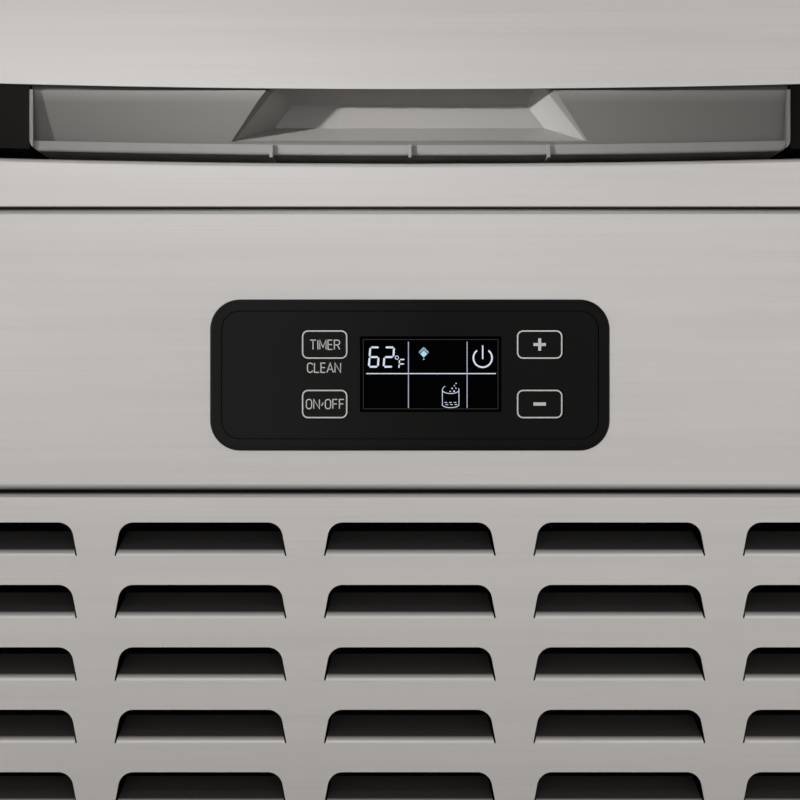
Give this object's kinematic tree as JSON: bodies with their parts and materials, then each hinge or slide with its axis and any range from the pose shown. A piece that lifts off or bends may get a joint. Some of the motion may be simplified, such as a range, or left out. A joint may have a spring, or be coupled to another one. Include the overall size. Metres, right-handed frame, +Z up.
{
  "type": "ice maker",
  "caption": "Free-standing stainless ice cube maker: tilt-up insulated door over an ice bin, control display and louvred compressor compartment, on levelling feet.",
  "frame": {"origin": "on the floor, under the middle of the machine's footprint", "axes": "+Z up; the front, with the door and the display, faces -Y; +X is to the right seen from the front"},
  "size_m": [0.404, 0.385, 0.8],
  "materials": {
    "stainless": "brushed",
    "galvanised": "satin",
    "screw_steel": "bright",
    "foam": "matt",
    "liner_plastic": "satin",
    "black_plastic": "matt",
    "grip_plastic": "matt",
    "gasket_rubber": "matt",
    "overlay_plastic": "gloss",
    "lcd_glass": "gloss",
    "board": "satin",
    "tinned_copper": "satin",
    "copper": "bright",
    "valve_brass": "satin",
    "clear_curtain": "clear",
    "rotor_plastic": "satin",
    "compressor_black": "gloss",
    "fin_aluminium": "satin",
    "motor_metal": "satin",
    "fan_aluminium": "satin",
    "foot_plastic": "matt"
  },
  "bodies": {
    "cabinet": {"left_side_panel": "stainless", "right_side_panel": "stainless", "top_cover": "stainless", "front_header": "stainless", "door_sill_rail": "stainless", "control_panel": "stainless", "louver_panel": "stainless", "base_pan": "galvanised", "rear_panel": "galvanised", "compartment_deck": "galvanised", "hinge_brackets": "galvanised", "panel_screws": "screw_steel", "foam_insulation": "foam", "bin_liner": "liner_plastic", "water_trough": "liner_plastic", "ice_chute": "liner_plastic", "evaporator_bracket": "liner_plastic", "water_distributor": "liner_plastic", "bin_drain": "black_plastic", "display_bezel": "black_plastic", "fan_shroud": "black_plastic", "air_filter": "black_plastic", "electrical_box": "black_plastic", "power_inlet": "black_plastic", "circulation_pump": "black_plastic", "compressor_grommets": "gasket_rubber", "pump_hose": "gasket_rubber", "water_fill_hose": "gasket_rubber", "display_overlay": "overlay_plastic", "lcd_module": "lcd_glass", "control_board": "board", "evaporator_grid": "tinned_copper", "evaporator_coil": "copper", "condenser_tube": "copper", "liquid_line": "copper", "suction_line": "copper", "discharge_line": "copper", "hot_gas_line": "copper", "hot_gas_valve": "valve_brass", "water_inlet_valve": "rotor_plastic", "compressor": "compressor_black", "condenser_fins": "fin_aluminium", "fan_motor": "motor_metal"},
    "door": {"door_skin": "stainless", "door_frame": "black_plastic", "door_grip": "grip_plastic", "door_liner": "liner_plastic", "door_foam": "foam", "door_gasket": "gasket_rubber"},
    "water_curtain": {"water_curtain": "clear_curtain"},
    "pump_rotor": {"pump_rotor": "rotor_plastic"},
    "fan": {"fan_blade": "fan_aluminium"},
    "key_timer": {"key_timer": "overlay_plastic"},
    "key_on_off": {"key_on_off": "overlay_plastic"},
    "key_plus": {"key_plus": "overlay_plastic"},
    "key_minus": {"key_minus": "overlay_plastic"},
    "foot_front_left": {"foot_front_left": "foot_plastic"},
    "foot_front_right": {"foot_front_right": "foot_plastic"},
    "foot_rear_left": {"foot_rear_left": "foot_plastic"},
    "foot_rear_right": {"foot_rear_right": "foot_plastic"}
  },
  "joints": [
    {"name": "door_hinge", "type": "hinge", "parent": "cabinet", "child": "door", "pos_m": [0, -0.172, 0.727], "axis": [-1, 0, 0], "range_deg": [0, 95]},
    {"name": "curtain_hinge", "type": "hinge", "parent": "cabinet", "child": "water_curtain", "pos_m": [0, 0.076, 0.736], "axis": [-1, 0, 0], "range_deg": [0, 30]},
    {"name": "pump_spin", "type": "hinge", "parent": "cabinet", "child": "pump_rotor", "pos_m": [0.142, 0.1, 0.515], "axis": [0, 0, 1], "continuous": true},
    {"name": "fan_spin", "type": "hinge", "parent": "cabinet", "child": "fan", "pos_m": [-0.03, -0.0975, 0.159], "axis": [0, 1, 0], "continuous": true},
    {"name": "key_timer_press", "type": "slide", "parent": "cabinet", "child": "key_timer", "axis": [0, 1, 0], "range_m": [0, 0.0006], "stiffness_N_per_m": 800, "springref_m": -0.0006},
    {"name": "key_on_off_press", "type": "slide", "parent": "cabinet", "child": "key_on_off", "axis": [0, 1, 0], "range_m": [0, 0.0006], "stiffness_N_per_m": 800, "springref_m": -0.0006},
    {"name": "key_plus_press", "type": "slide", "parent": "cabinet", "child": "key_plus", "axis": [0, 1, 0], "range_m": [0, 0.0006], "stiffness_N_per_m": 800, "springref_m": -0.0006},
    {"name": "key_minus_press", "type": "slide", "parent": "cabinet", "child": "key_minus", "axis": [0, 1, 0], "range_m": [0, 0.0006], "stiffness_N_per_m": 800, "springref_m": -0.0006},
    {"name": "foot_front_left_height", "type": "slide", "parent": "cabinet", "child": "foot_front_left", "axis": [0, 0, 1], "range_m": [-0.012, 0]},
    {"name": "foot_front_right_height", "type": "slide", "parent": "cabinet", "child": "foot_front_right", "axis": [0, 0, 1], "range_m": [-0.012, 0]},
    {"name": "foot_rear_left_height", "type": "slide", "parent": "cabinet", "child": "foot_rear_left", "axis": [0, 0, 1], "range_m": [-0.012, 0]},
    {"name": "foot_rear_right_height", "type": "slide", "parent": "cabinet", "child": "foot_rear_right", "axis": [0, 0, 1], "range_m": [-0.012, 0]}
  ]
}
